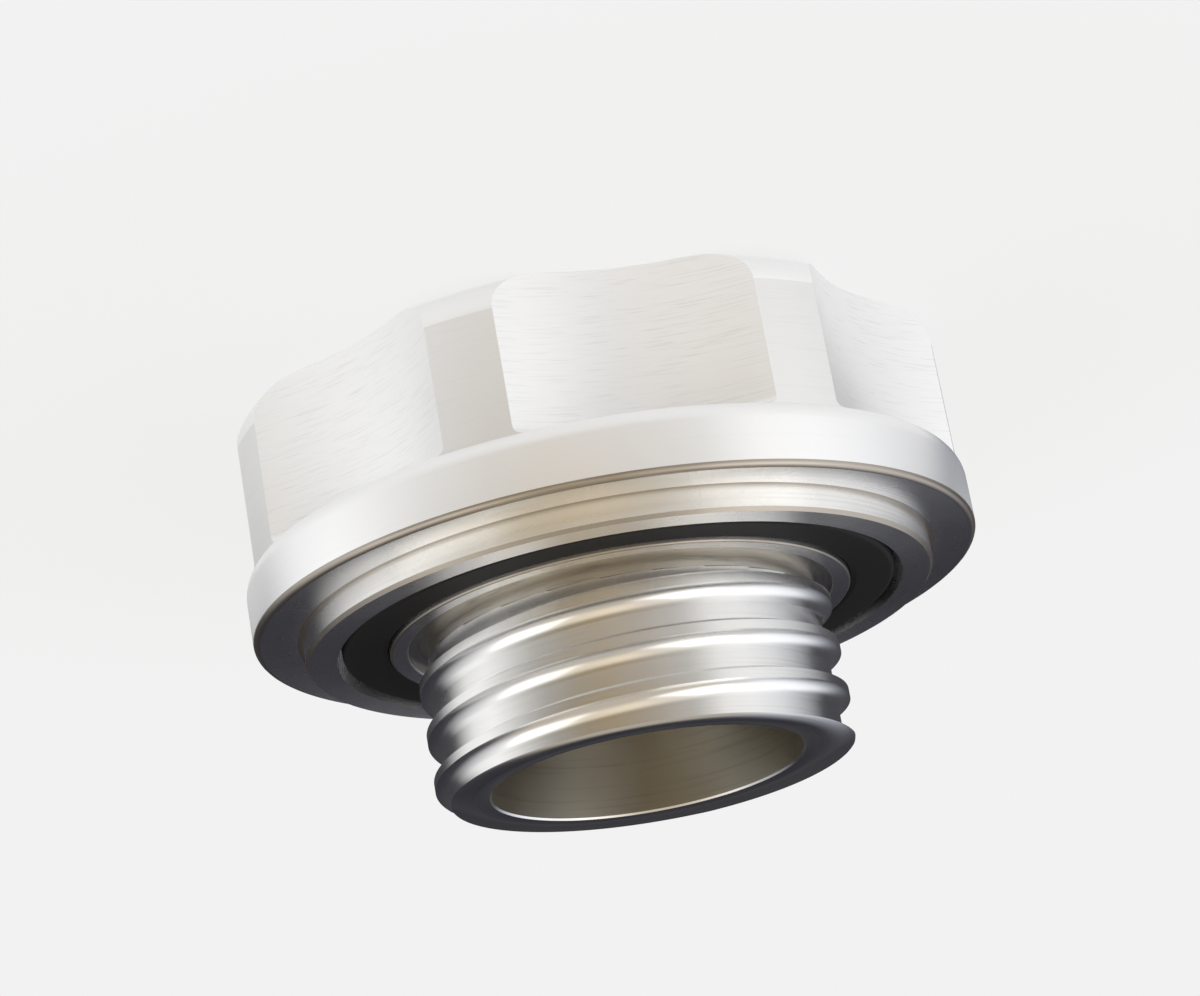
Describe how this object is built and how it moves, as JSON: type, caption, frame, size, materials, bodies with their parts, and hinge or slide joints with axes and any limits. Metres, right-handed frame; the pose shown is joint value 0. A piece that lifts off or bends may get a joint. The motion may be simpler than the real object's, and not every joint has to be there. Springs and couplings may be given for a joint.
{
  "type": "oil filler cap",
  "caption": "Screw-in engine oil filler cap turned from aluminium, with a lobed grip, a broad flange, a coarse threaded hollow plug and a flat rubber sealing ring in its face",
  "frame": {"origin": "centre of the head's flat top face, on which the cap stands", "axes": "+Z along the cap's axis from the grip to the threaded plug; +X and +Y across the cap, with the middle of one lobe 29 degrees from +X towards +Y; the cap is turned about +Z as the picture shows it, seen from -Y"},
  "size_m": [0.061, 0.061, 0.0343],
  "materials": {
    "billet_aluminium": "fine turned and milled bare metal, streaks running round the axis",
    "black_rubber": "matt moulded rubber"
  },
  "bodies": {
    "root": {"cap_body": "billet_aluminium", "seal_ring": "black_rubber"}
  },
  "joints": []
}
